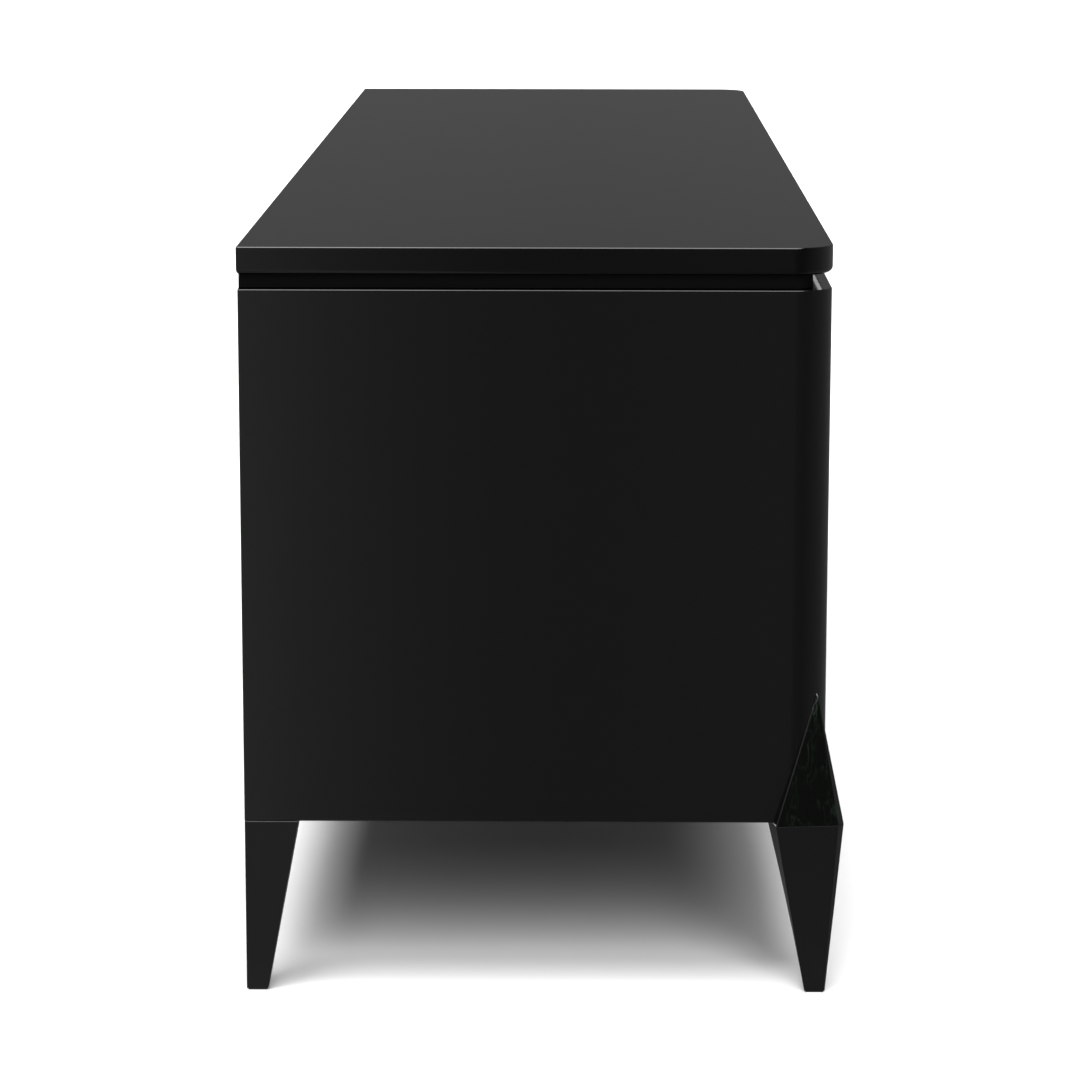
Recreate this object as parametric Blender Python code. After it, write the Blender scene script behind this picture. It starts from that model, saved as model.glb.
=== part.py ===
"""Long low dresser on tapered legs, with six drawers in three columns and two rows.

Metres, +Z up. The drawers face -Y and the long side runs along X. The origin is on the floor,
in the middle of the box that holds the whole piece. "Left" and "right" are those of a person
who stands in front of the drawers.
"""
import math

import bmesh
import bpy
from mathutils import Matrix, Vector

# Overall sizes
LENGTH = 1.900
DEPTH = 0.500
CASE_HEIGHT = 0.458
LEG_HEIGHT = 0.151
GAP = 0.0003  # left between two pieces that touch

# Top slab
SLAB_THICK = 0.0235
SLAB_OVERHANG = 0.001
SLAB_CORNER_RADIUS = 0.035
SLAB_TOP_EASE = 0.001
SLAB_UNDER_ROUND = 0.005

# Recessed plinth under the slab, measured in from the slab's outline
PLINTH_HEIGHT = 0.012
PLINTH_IN_AT_ENDS = 0.010
PLINTH_IN_AT_FRONT = 0.017
PLINTH_IN_AT_BACK = 0.0012
PLINTH_CORNER_RADIUS = 0.018

# Case boards
BOARD_THICK = 0.020
END_THICK = 0.025
POST_WIDTH = 0.056
POST_DEPTH = 0.045
CASE_CORNER_RADIUS = 0.032
CASE_EDGE_EASE = 0.0012
DIVIDER_THICK = 0.018
BACK_THICK = 0.008
RAIL_DEPTH = 0.060
RAIL_THICK = 0.018
RUNNER_LAP = 0.004

# Drawers
COLUMNS = ("left", "centre", "right")
ROWS = ("lower", "upper")
FRONT_THICK = 0.020
FRONT_LIP = 0.007
FRONT_SEAM = 0.003
EDGE_GAP = 0.002
FINGER_GAP = 0.014
BOX_CLEARANCE = 0.0015
BOX_BACK_ROOM = 0.025
SIDE_THICK = 0.012
SIDE_DROP = 0.045
BACK_DROP = 0.010
BOTTOM_THICK = 0.006
GROOVE_UP = 0.010
GROOVE_DEPTH = 0.005

# Legs
REAR_LEG_HEAD = 0.046
REAR_LEG_FOOT = 0.0186
STAKE_HEAD = 0.0595
STAKE_FOOT = 0.0176
STAKE_TURN = math.radians(6.5)
STAKE_PROUD_AT_END = 0.0073
STAKE_PROUD_AT_FRONT = 0.0158
STAKE_CHAMFER = 0.0055
FOOT_PROUD_AT_END = 0.0005
FOOT_PROUD_AT_FRONT = 0.0012
FOOT_CHAMFER = 0.0015
STAKE_LEVELS = 6
GLIDE_THICK = 0.0012
GLIDE_INSET = 0.0015

# Glass caps over the front corners. The tip's place is an angle round the case's corner
CAP_HEIGHT = 0.1140
CAP_TIP_ANGLE = math.radians(43)
CAP_TIP_PROUD = 0.0035
CAP_TIP_WIDTH = 0.0010
CAP_TIP_BEVEL = 0.0045
CAP_SKIRT = 0.0022
CAP_LEVELS = 8
SINK = 0.001  # how far the skirt starts inside the case, before the case's shape is cut away

ARC_STEPS = 10
EASE_STEPS = 3

# Worked out from the sizes above, in the case's own frame: its middle is at x = y = 0
CASE_X = LENGTH / 2 - SLAB_OVERHANG
CASE_Y = DEPTH / 2 - SLAB_OVERHANG
CASE_BASE = LEG_HEIGHT
CASE_TOP = CASE_BASE + CASE_HEIGHT
BAY_FLOOR = CASE_BASE + BOARD_THICK
BAY_CEILING = CASE_TOP - BOARD_THICK
ROW_PITCH = (BAY_CEILING - BAY_FLOOR) / len(ROWS)
POST_INNER_X = CASE_X - POST_WIDTH
END_INNER_X = CASE_X - END_THICK
POST_BACK_Y = -CASE_Y + POST_DEPTH
BACK_FRONT_Y = CASE_Y - BACK_THICK
FRONT_WIDTH = (2 * (POST_INNER_X - EDGE_GAP) - (len(COLUMNS) - 1) * FRONT_SEAM) / len(COLUMNS)
COLUMN_PITCH = FRONT_WIDTH + FRONT_SEAM
BOX_WIDTH = COLUMN_PITCH - DIVIDER_THICK - 2 * BOX_CLEARANCE
BOX_FRONT_Y = -CASE_Y + FRONT_THICK
BOX_BACK_Y = BACK_FRONT_Y - BOX_BACK_ROOM


def stake_corner_front():
    """How far the chamfered head of a front leg reaches in front of the case."""
    return STAKE_PROUD_AT_FRONT - STAKE_CHAMFER * math.sin(STAKE_TURN)


# The legs stand proud at the front, so the box's middle lies in front of the case's middle
FRONT_REACH = CASE_Y + stake_corner_front()
CASE_SHIFT_Y = (FRONT_REACH - DEPTH / 2) / 2


def make_material(name, colour, roughness, metallic=0.0):
    """A Principled material of one colour."""
    material = bpy.data.materials.new(name)
    material.use_nodes = True
    material.diffuse_color = (*colour, 1.0)
    shader = material.node_tree.nodes["Principled BSDF"]
    shader.inputs["Base Color"].default_value = (*colour, 1.0)
    shader.inputs["Roughness"].default_value = roughness
    shader.inputs["Metallic"].default_value = metallic
    return material


def add_object(name, mesh_data, material, location, parent=None):
    """Turn a bmesh into a named object at a place given in the case's own frame."""
    bmesh.ops.recalc_face_normals(mesh_data, faces=mesh_data.faces)
    mesh = bpy.data.meshes.new(name)
    mesh_data.to_mesh(mesh)
    mesh_data.free()
    mesh.materials.append(material)
    piece = bpy.data.objects.new(name, mesh)
    bpy.context.collection.objects.link(piece)
    piece.location = Vector(location) + Vector((0, CASE_SHIFT_Y, 0))
    if parent is not None:
        piece.parent = parent
        piece.location -= parent.location
    return piece


def board(name, low, high, material, parent=None):
    """A plain rectangular board between two opposite corners."""
    low, high = Vector(low), Vector(high)
    block = bmesh.new()
    bmesh.ops.create_cube(block, size=1.0, matrix=Matrix.Diagonal((*(high - low), 1.0)))
    return add_object(name, block, material, (low + high) / 2, parent)


def extruded(name, profile, along, material, location, parent=None):
    """A flat profile (a list of points) pushed along a vector."""
    block = bmesh.new()
    face = block.faces.new([block.verts.new(point) for point in profile])
    grown = bmesh.ops.extrude_face_region(block, geom=[face])
    moved = [item for item in grown["geom"] if isinstance(item, bmesh.types.BMVert)]
    bmesh.ops.translate(block, verts=moved, vec=along)
    return add_object(name, block, material, location, parent)


def lofted(name, rings, material, location=(0, 0, 0)):
    """A closed skin through rings of points; a last ring of one point makes a tip."""
    block = bmesh.new()
    levels = [[block.verts.new(point) for point in ring] for ring in rings]
    block.faces.new(levels[0])
    for below, above in zip(levels, levels[1:]):
        count = len(below)
        for i in range(count):
            j = (i + 1) % count
            if len(above) == 1:
                block.faces.new((below[i], below[j], above[0]))
            else:
                block.faces.new((below[i], below[j], above[j], above[i]))
    if len(levels[-1]) > 1:
        block.faces.new(levels[-1])
    return add_object(name, block, material, location)


def arc(centre_x, centre_y, radius, start, end):
    """Points of an arc, with angles in quarter turns."""
    points = []
    for i in range(ARC_STEPS + 1):
        angle = (start + (end - start) * i / ARC_STEPS) * math.pi / 2
        points.append((centre_x + radius * math.cos(angle), centre_y + radius * math.sin(angle)))
    return points


def round_front_outline(half_x, front, back, radius):
    """A plan outline with two square back corners and two round front ones."""
    outline = [(half_x, back), (-half_x, back)]
    outline += arc(-half_x + radius, front + radius, radius, 2, 3)
    outline += arc(half_x - radius, front + radius, radius, 3, 4)
    return outline


def make_slab(material):
    """The top: a crisp upper edge, and a softer lower edge at the front and the ends."""
    underside = CASE_TOP + PLINTH_HEIGHT + GAP
    levels = []
    for i in range(EASE_STEPS + 1):
        turn = math.pi / 2 * i / EASE_STEPS
        inset = SLAB_UNDER_ROUND * (1 - math.sin(turn))
        levels.append((inset, underside + SLAB_UNDER_ROUND * (1 - math.cos(turn))))
    levels.append((0.0, underside + SLAB_THICK - SLAB_TOP_EASE))
    levels.append((SLAB_TOP_EASE, underside + SLAB_THICK))
    rings = []
    for inset, height in levels:
        outline = round_front_outline(LENGTH / 2 - inset, -DEPTH / 2 + inset, DEPTH / 2,
                                      SLAB_CORNER_RADIUS - inset)
        rings.append([(x, y, height) for x, y in outline])
    lofted("top_slab", rings, material)


def make_plinth(material):
    """The board that lifts the slab off the case and leaves a shadow gap round it."""
    outline = round_front_outline(LENGTH / 2 - PLINTH_IN_AT_ENDS, -DEPTH / 2 + PLINTH_IN_AT_FRONT,
                                  DEPTH / 2 - PLINTH_IN_AT_BACK, PLINTH_CORNER_RADIUS)
    extruded("plinth_board", [(x, y, CASE_TOP + GAP) for x, y in outline],
             (0, 0, PLINTH_HEIGHT - GAP), material, (0, 0, 0))


def end_outline(side, inset):
    """Plan of an end panel and its corner post, its outside faces moved in by inset."""
    outer = CASE_X - inset
    front = -CASE_Y + inset
    centre = (CASE_X - CASE_CORNER_RADIUS, -CASE_Y + CASE_CORNER_RADIUS)
    outline = [(END_INNER_X, CASE_Y), (END_INNER_X, POST_BACK_Y), (POST_INNER_X, POST_BACK_Y)]
    outline.append((POST_INNER_X, front))
    outline += arc(*centre, CASE_CORNER_RADIUS - inset, 3, 4)
    outline.append((outer, CASE_Y))
    return [(side * x, y) for x, y in outline]


def make_end_panel(name, side, material):
    """End panel with its round front corner post, eased at the top and bottom edges."""
    levels = ((CASE_EDGE_EASE, CASE_BASE), (0.0, CASE_BASE + CASE_EDGE_EASE),
              (0.0, CASE_TOP - CASE_EDGE_EASE), (CASE_EDGE_EASE, CASE_TOP))
    rings = []
    for inset, height in levels:
        rings.append([(x, y, height) for x, y in end_outline(side, inset)])
    lofted(name, rings, material)


def make_notched_board(name, bottom, material):
    """Deck or base: as wide as the case inside, and cut back round the two corner posts."""
    wide = END_INNER_X - GAP
    narrow = POST_INNER_X - GAP
    step = POST_BACK_Y + GAP
    outline = [(wide, CASE_Y), (-wide, CASE_Y), (-wide, step), (-narrow, step)]
    outline += [(-narrow, -CASE_Y), (narrow, -CASE_Y), (narrow, step), (wide, step)]
    extruded(name, [(x, y, bottom) for x, y in outline], (0, 0, BOARD_THICK), material, (0, 0, 0))


def make_case(lacquer, satin, timber):
    """All the boards that don't move, from the plinth down to the base."""
    make_plinth(lacquer)
    make_notched_board("deck_panel", BAY_CEILING, lacquer)
    make_notched_board("base_panel", CASE_BASE, lacquer)
    make_end_panel("end_panel_left", -1, lacquer)
    make_end_panel("end_panel_right", 1, lacquer)
    inner = END_INNER_X - GAP
    low, high = BAY_FLOOR + GAP, BAY_CEILING - GAP
    board("back_panel", (-inner, BACK_FRONT_Y, low), (inner, CASE_Y, high), satin)
    for name, side in (("divider_left", -1), ("divider_right", 1)):
        x = side * COLUMN_PITCH / 2
        board(name, (x - DIVIDER_THICK / 2, BOX_FRONT_Y + EDGE_GAP, low),
              (x + DIVIDER_THICK / 2, BACK_FRONT_Y - GAP, high), timber)


def bay_walls(column):
    """The x of the left and the right wall of a column's bay."""
    walls = [-END_INNER_X]
    for side in (-1, 1):
        walls += [side * COLUMN_PITCH / 2 - DIVIDER_THICK / 2]
        walls += [side * COLUMN_PITCH / 2 + DIVIDER_THICK / 2]
    walls.append(END_INNER_X)
    return walls[2 * column], walls[2 * column + 1]


def box_sides(column):
    """The x of the outer faces of a column's drawer boxes."""
    middle = (column - (len(COLUMNS) - 1) / 2) * COLUMN_PITCH
    return middle - BOX_WIDTH / 2, middle + BOX_WIDTH / 2


def make_rail_and_runners(column, name, lacquer, timber):
    """The rail between the rows, and the two strips that the upper drawer slides on."""
    left, right = bay_walls(column)
    box_left, box_right = box_sides(column)
    top = BAY_FLOOR + ROW_PITCH
    bottom = top - RAIL_THICK
    rail_front = POST_BACK_Y + GAP
    rail_back = rail_front + RAIL_DEPTH
    board(f"rail_{name}", (left + GAP, rail_front, bottom), (right - GAP, rail_back, top), lacquer)
    runner_front = rail_back + GAP
    runner_back = BACK_FRONT_Y - GAP
    reach = SIDE_THICK + RUNNER_LAP
    board(f"runner_{name}_left", (left + GAP, runner_front, bottom),
          (box_left + reach, runner_back, top), timber)
    board(f"runner_{name}_right", (box_right - reach, runner_front, bottom),
          (right - GAP, runner_back, top), timber)


def make_drawer_front(name, left, floor, material, slide):
    """A front with a bevelled back edge at the top, which leaves room for fingers."""
    height = ROW_PITCH - FINGER_GAP - EDGE_GAP
    bevel = FRONT_THICK - FRONT_LIP
    face = -CASE_Y
    base = floor + EDGE_GAP
    profile = [(face, base), (face + FRONT_THICK, base),
               (face + FRONT_THICK, base + height - bevel),
               (face + FRONT_LIP, base + height), (face, base + height)]
    extruded(name, [(left, y, z) for y, z in profile], (FRONT_WIDTH, 0, 0), material,
             (0, 0, 0), slide)
    return base + height


def make_drawer_side(name, outer, inward, low, high, material, slide):
    """A side with a groove along its inner face for the drawer's bottom."""
    inner = outer + inward * SIDE_THICK
    groove = inner - inward * GROOVE_DEPTH
    groove_low = low + GROOVE_UP
    groove_high = groove_low + BOTTOM_THICK + 2 * GAP
    profile = [(outer, low), (inner, low), (inner, groove_low), (groove, groove_low),
               (groove, groove_high), (inner, groove_high), (inner, high), (outer, high)]
    front = BOX_FRONT_Y + GAP
    extruded(name, [(x, front, z) for x, z in profile], (0, BOX_BACK_Y - front, 0), material,
             (0, 0, 0), slide)


def make_drawer(row, column, lacquer, timber, ply):
    """One drawer: front, two sides, back and bottom, on an empty that slides along Y."""
    name = f"{ROWS[row]}_{COLUMNS[column]}"
    floor = BAY_FLOOR + row * ROW_PITCH
    left, right = box_sides(column)
    middle = (left + right) / 2
    slide = bpy.data.objects.new(f"slide_{name}", None)
    slide.location = (middle, -CASE_Y + CASE_SHIFT_Y, floor)
    bpy.context.collection.objects.link(slide)
    front_top = make_drawer_front(f"drawer_{name}_front", middle - FRONT_WIDTH / 2, floor,
                                  lacquer, slide)
    low, high = floor + GAP, front_top - SIDE_DROP
    make_drawer_side(f"drawer_{name}_side_left", left, 1, low, high, timber, slide)
    make_drawer_side(f"drawer_{name}_side_right", right, -1, low, high, timber, slide)
    bottom_low = low + GROOVE_UP + GAP
    bottom_high = bottom_low + BOTTOM_THICK
    reach = SIDE_THICK - GROOVE_DEPTH + GAP
    board(f"drawer_{name}_bottom", (left + reach, BOX_FRONT_Y + GAP, bottom_low),
          (right - reach, BOX_BACK_Y, bottom_high), ply, slide)
    inside = SIDE_THICK + GAP
    board(f"drawer_{name}_back", (left + inside, BOX_BACK_Y - SIDE_THICK, bottom_high + GAP),
          (right - inside, BOX_BACK_Y, high - BACK_DROP), timber, slide)


def stake_ring(side, corner_end, corner_front, width, turn, chamfer):
    """Plan of a front leg at one level: a square with its outer corner cut off.

    The square's outer corner stands corner_end past the end and corner_front past the front of
    the case. The turn swings the leg's outer face, so that its back edge stands further out.
    """
    corner = Vector((CASE_X + corner_end, -CASE_Y - corner_front))
    along_end = Vector((math.sin(turn), math.cos(turn)))
    along_front = Vector((-math.cos(turn), math.sin(turn)))
    ring = [corner + along_end * chamfer, corner + along_end * width,
            corner + (along_end + along_front) * width, corner + along_front * width,
            corner + along_front * chamfer]
    return [(side * point.x, point.y) for point in ring]


def make_front_leg(name, side, material):
    """A square stake, turned at its head and straight at its foot, with a chamfered corner."""
    foot = GLIDE_THICK + GAP
    head = CASE_BASE - GAP
    rings = []
    for i in range(STAKE_LEVELS + 1):
        share = i / STAKE_LEVELS
        ring = stake_ring(side,
                          FOOT_PROUD_AT_END + (STAKE_PROUD_AT_END - FOOT_PROUD_AT_END) * share,
                          FOOT_PROUD_AT_FRONT + (STAKE_PROUD_AT_FRONT - FOOT_PROUD_AT_FRONT) * share,
                          STAKE_FOOT + (STAKE_HEAD - STAKE_FOOT) * share,
                          STAKE_TURN * share,
                          FOOT_CHAMFER + (STAKE_CHAMFER - FOOT_CHAMFER) * share)
        height = foot + (head - foot) * share
        rings.append([(x, y, height) for x, y in ring])
    lofted(name, rings, material)


def square(side, width, back):
    """Plan of a rear leg: a square whose outer faces are flush with the case."""
    outer, inner = CASE_X, CASE_X - width
    return [(side * x, y) for x, y in ((outer, back), (inner, back),
                                       (inner, back - width), (outer, back - width))]


def make_rear_leg(name, side, material):
    """A square leg that tapers on its two inner sides only."""
    rings = []
    for width, height in ((REAR_LEG_FOOT, GLIDE_THICK + GAP), (REAR_LEG_HEAD, CASE_BASE - GAP)):
        rings.append([(x, y, height) for x, y in square(side, width, CASE_Y)])
    lofted(name, rings, material)


def make_glide(name, x, y, foot, material):
    """A thin pad under the middle of a foot."""
    half = foot / 2 - GLIDE_INSET
    board(name, (x - half, y - half, 0), (x + half, y + half, GLIDE_THICK), material)


def fallen_back(distance):
    """How far the round corner lies behind one face, at a distance from the other (0 or less)."""
    into = max(CASE_CORNER_RADIUS + distance, 0.0)
    return CASE_CORNER_RADIUS - math.sqrt(CASE_CORNER_RADIUS ** 2 - into ** 2)


def on_corner(radius):
    """A point round the case's corner, as distances past the end and past the front."""
    return Vector((radius * math.cos(CAP_TIP_ANGLE) - CASE_CORNER_RADIUS,
                   radius * math.sin(CAP_TIP_ANGLE) - CASE_CORNER_RADIUS))


def cap_rings(side):
    """Rings of a cap: its faces with their bevelled skirts, then the tip on the corner."""
    base = [Vector((side * x - CASE_X, -y - CASE_Y)) for x, y in
            stake_ring(side, STAKE_PROUD_AT_END, STAKE_PROUD_AT_FRONT, STAKE_HEAD, STAKE_TURN,
                       STAKE_CHAMFER)]
    chamfer_end, heel_end, _, heel_front, chamfer_front = base
    tip = on_corner(CASE_CORNER_RADIUS + CAP_TIP_PROUD)
    aside = Vector((0, CAP_TIP_WIDTH))
    ahead = Vector((CAP_TIP_WIDTH, 0))
    lines = ((heel_end, tip - aside), (chamfer_end, tip), (chamfer_front, tip + (aside - ahead) / 4),
             (heel_front, tip - ahead))
    rings = []
    for i in range(CAP_LEVELS + 1):
        share = i / CAP_LEVELS
        height = CASE_BASE + (CAP_HEIGHT - CAP_TIP_BEVEL) * share
        faces = [start.lerp(end, share) for start, end in lines]
        by_end = faces[0].y - CAP_SKIRT
        by_front = faces[-1].x - CAP_SKIRT
        ring = [Vector((-fallen_back(by_end) - SINK, by_end)), *faces,
                Vector((by_front, -fallen_back(by_front) - SINK)),
                Vector((-CASE_CORNER_RADIUS, -CASE_CORNER_RADIUS))]
        rings.append([(side * (CASE_X + a), -CASE_Y - b, height) for a, b in ring])
    top = on_corner(CASE_CORNER_RADIUS)
    rings.append([(side * (CASE_X + top.x), -CASE_Y - top.y, CASE_BASE + CAP_HEIGHT)])
    return rings


def corner_cutter(name, side, material):
    """The case's round corner with a little clearance, which shapes the back of a glass cap."""
    radius = CASE_CORNER_RADIUS + GAP
    outer = CASE_X + GAP
    inner = CASE_X - 2 * STAKE_HEAD
    back = -CASE_Y + 2 * STAKE_HEAD
    outline = [(inner, -CASE_Y - GAP)]
    outline += arc(CASE_X - CASE_CORNER_RADIUS, -CASE_Y + CASE_CORNER_RADIUS, radius, 3, 4)
    outline += [(outer, back), (inner, back)]
    bottom = CASE_BASE - CAP_HEIGHT / 2
    cutter = extruded(name, [(side * x, y, bottom) for x, y in outline],
                      (0, 0, 2 * CAP_HEIGHT), material, (0, 0, 0))
    cutter.hide_render = True
    cutter.display_type = "WIRE"
    return cutter


def make_corner_cap(name, side, material):
    """A spike of glass that stands on the leg's head and wraps the case's round corner."""
    cap = lofted(name, cap_rings(side), material)
    hollow = cap.modifiers.new("case_corner", "BOOLEAN")
    hollow.object = corner_cutter(f"{name}_cutter", side, material)
    hollow.operation = "DIFFERENCE"
    hollow.solver = "EXACT"


def make_legs(lacquer, glass, nylon):
    """Four legs, the pads under them, and the caps above the front pair."""
    for word, side in (("left", -1), ("right", 1)):
        make_front_leg(f"front_leg_{word}", side, lacquer)
        make_corner_cap(f"corner_cap_{word}", side, glass)
        make_rear_leg(f"rear_leg_{word}", side, lacquer)
        make_glide(f"glide_front_{word}", side * (CASE_X + FOOT_PROUD_AT_END - STAKE_FOOT / 2),
                   -CASE_Y - FOOT_PROUD_AT_FRONT + STAKE_FOOT / 2, STAKE_FOOT, nylon)
        make_glide(f"glide_rear_{word}", side * (CASE_X - REAR_LEG_FOOT / 2),
                   CASE_Y - REAR_LEG_FOOT / 2, REAR_LEG_FOOT, nylon)


def main():
    """Clear the scene and build the dresser."""
    for item in list(bpy.data.objects):
        bpy.data.objects.remove(item, do_unlink=True)
    lacquer = make_material("gloss_black_lacquer", (0.006, 0.006, 0.006), 0.12)
    satin = make_material("satin_black_lacquer", (0.010, 0.009, 0.010), 0.45)
    timber = make_material("oiled_walnut", (0.110, 0.055, 0.028), 0.50)
    ply = make_material("veneered_plywood", (0.160, 0.090, 0.050), 0.55)
    glass = make_material("dark_green_glass", (0.004, 0.008, 0.005), 0.03)
    nylon = make_material("black_nylon", (0.015, 0.015, 0.015), 0.60)
    make_slab(lacquer)
    make_case(lacquer, satin, timber)
    make_legs(satin, glass, nylon)
    for column, name in enumerate(COLUMNS):
        make_rail_and_runners(column, name, satin, timber)
        for row in range(len(ROWS)):
            make_drawer(row, column, lacquer, timber, ply)


main()
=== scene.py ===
# %% [markdown]
# # A long low lacquered dresser
#
# The dresser stands on four tapered legs. It has a gloss black lacquered case, six drawers that
# are pulled by their top edges, a top slab that seems to float over a shadow gap, and a pointed
# cap of dark green glass on each front corner. The boards that carry the drawers and the drawers
# themselves are oiled walnut inside. We load the working model first. Every piece made below
# stands where that model says.

# %% Load the working model
import math

import bmesh
import bpy
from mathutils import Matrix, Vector


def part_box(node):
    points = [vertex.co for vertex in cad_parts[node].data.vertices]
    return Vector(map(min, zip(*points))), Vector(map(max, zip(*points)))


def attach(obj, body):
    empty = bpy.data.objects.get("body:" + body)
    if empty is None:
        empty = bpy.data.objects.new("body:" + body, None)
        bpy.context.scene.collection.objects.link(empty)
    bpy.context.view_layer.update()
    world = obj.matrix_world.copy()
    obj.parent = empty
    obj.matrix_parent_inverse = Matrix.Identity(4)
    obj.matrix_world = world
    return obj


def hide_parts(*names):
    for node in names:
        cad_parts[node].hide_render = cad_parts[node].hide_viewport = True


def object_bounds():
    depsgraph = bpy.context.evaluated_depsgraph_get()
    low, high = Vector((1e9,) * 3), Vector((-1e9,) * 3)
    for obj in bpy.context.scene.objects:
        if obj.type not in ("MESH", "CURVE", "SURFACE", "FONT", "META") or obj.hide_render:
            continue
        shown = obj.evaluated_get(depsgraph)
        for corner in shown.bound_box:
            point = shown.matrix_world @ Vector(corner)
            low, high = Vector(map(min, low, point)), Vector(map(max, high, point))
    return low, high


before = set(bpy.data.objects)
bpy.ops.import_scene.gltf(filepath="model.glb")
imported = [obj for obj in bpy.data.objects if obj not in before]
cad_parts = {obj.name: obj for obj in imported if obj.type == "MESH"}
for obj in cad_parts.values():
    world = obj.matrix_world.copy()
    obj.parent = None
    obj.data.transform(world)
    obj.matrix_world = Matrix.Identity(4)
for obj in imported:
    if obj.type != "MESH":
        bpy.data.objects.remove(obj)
cad_box = [list(map(float, corner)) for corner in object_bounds()]
print("overall size in mm:", [round(1000 * (b - a)) for a, b in zip(*cad_box)])

# %% [markdown]
# ## Camera
#
# Furniture this long is best shown from well back with a long lens, so that the near end isn't
# swollen by perspective. The camera looks along the length of the dresser from its left end, a
# little from above. Its place is in metres and its turn in degrees round x, y and z, of which the
# middle one is a tiny roll.

# %% Camera
CAMERA_PLACE = (-4.1062, -0.0326, 0.9944)
CAMERA_TURN = (79.2826, -0.0610, -89.3424)
SENSOR = 36.0
LENS = 126.82

camera_data = bpy.data.cameras.new("studio_camera")
camera_data.sensor_width = SENSOR
camera_data.lens = LENS
camera_data.clip_end = 200.0
camera = bpy.data.objects.new("studio_camera", camera_data)
camera.location = CAMERA_PLACE
camera.rotation_euler = [math.radians(angle) for angle in CAMERA_TURN]
bpy.context.scene.collection.objects.link(camera)
bpy.context.scene.camera = camera
print("camera:", round(math.degrees(camera_data.angle), 1), "degrees wide")

# %% [markdown]
# ## Colours and nodes
#
# Colours are chosen as sRGB hex values, which is how a colour picker shows them. The shader works
# in linear light, so one function turns them over. One more adds a node, sets it and links it,
# which keeps each material short enough to read.


# %% A colour from a hex value, and a helper that adds one node
def colour(code):
    """Linear RGBA of an sRGB hex value such as 2f1d14."""
    channels = [int(code[i:i + 2], 16) / 255 for i in (0, 2, 4)]
    linear = [c / 12.92 if c <= 0.04045 else ((c + 0.055) / 1.055) ** 2.4 for c in channels]
    return (*linear, 1.0)


def add_node(tree, kind, inputs=None, **settings):
    """A new node. Inputs are values, or another node's output to link from."""
    made = tree.nodes.new(kind)
    for key, value in settings.items():
        setattr(made, key, value)
    for key, value in (inputs or {}).items():
        if isinstance(value, bpy.types.NodeSocket):
            tree.links.new(value, made.inputs[key])
        else:
            made.inputs[key].default_value = value
    return made


def new_material(name):
    """An empty material, its node tree and its Principled shader."""
    material = bpy.data.materials.new(name)
    material.use_nodes = True
    tree = material.node_tree
    return material, tree, tree.nodes["Principled BSDF"]


print("black of the lacquer, linear:", [round(c, 4) for c in colour("0b0b0b")[:3]])

# %% [markdown]
# ## Floor
#
# The floor is a wide white sheet, lit until it all but burns out, so only the soft shadow under
# the dresser shows on it. Black lacquer has almost no colour of its own: it shows what stands
# around it. A real studio is white only near the object and dark beyond. So in reflections the
# sheet loses part of its brightness everywhere, and past the rim of an oval it fades away and
# shows the dim room instead. The oval starts just before the near end and lies a little towards
# the dresser's back. That keeps the case black and still lets the legs and the gap under the top
# catch light.

# %% Floor
FLOOR_SIZE = 120.0
SHEET_CENTRE = (3.2, 0.35)
SHEET_HALF = (4.25, 1.75)
SHEET_FADE = 0.90
SHEET_LOSS = 0.30

bpy.ops.mesh.primitive_plane_add(size=FLOOR_SIZE, location=(0, 0, 0))
floor = bpy.context.object
floor.name = "studio_floor"
floor_paint, tree, shader = new_material("matt_white_floor")
shader.inputs["Base Color"].default_value = colour("f4f4f4")
shader.inputs["Roughness"].default_value = 0.9
shader.inputs["Specular IOR Level"].default_value = 0.0
place = add_node(tree, "ShaderNodeTexCoord")
oval = add_node(tree, "ShaderNodeMapping", {
    "Vector": place.outputs["Object"],
    "Location": (-SHEET_CENTRE[0] / SHEET_HALF[0], -SHEET_CENTRE[1] / SHEET_HALF[1], 0.0),
    "Scale": (1 / SHEET_HALF[0], 1 / SHEET_HALF[1], 1.0)})
reach = add_node(tree, "ShaderNodeVectorMath", {0: oval.outputs["Vector"]}, operation="LENGTH")
beyond = add_node(tree, "ShaderNodeMapRange", {"Value": reach.outputs["Value"],
                                               "From Min": SHEET_FADE, "From Max": 1.0,
                                               "To Min": SHEET_LOSS},
                  interpolation_type="SMOOTHSTEP")
ray = add_node(tree, "ShaderNodeLightPath")
dimmed = add_node(tree, "ShaderNodeMath", {0: beyond.outputs["Result"],
                                           1: ray.outputs["Is Glossy Ray"]},
                  operation="MULTIPLY")
nothing = add_node(tree, "ShaderNodeBsdfTransparent")
blend = add_node(tree, "ShaderNodeMixShader", {0: dimmed.outputs["Value"],
                                               1: shader.outputs["BSDF"],
                                               2: nothing.outputs["BSDF"]})
tree.links.new(blend.outputs["Shader"], tree.nodes["Material Output"].inputs["Surface"])
floor.data.materials.append(floor_paint)
print("oval that shows in reflections, m:", [round(2 * half, 1) for half in SHEET_HALF])

# %% [markdown]
# ## Room
#
# The room gives the lacquer its slow greys, so its brightness changes with the compass. Each pair
# below is a place in the turn and a brightness there: 0 is straight ahead of the camera, 0.25
# beside the dresser's back, 0.5 behind the camera and 0.75 beside the drawers. A bright reflector
# card stands beside the back, a weaker one beside the drawers, and one narrow strip almost behind
# the camera. A ramp over a radial gradient does this without any object to model. Matt surfaces
# such as the floor get an even fill light instead, and the camera sees plain white.

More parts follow.
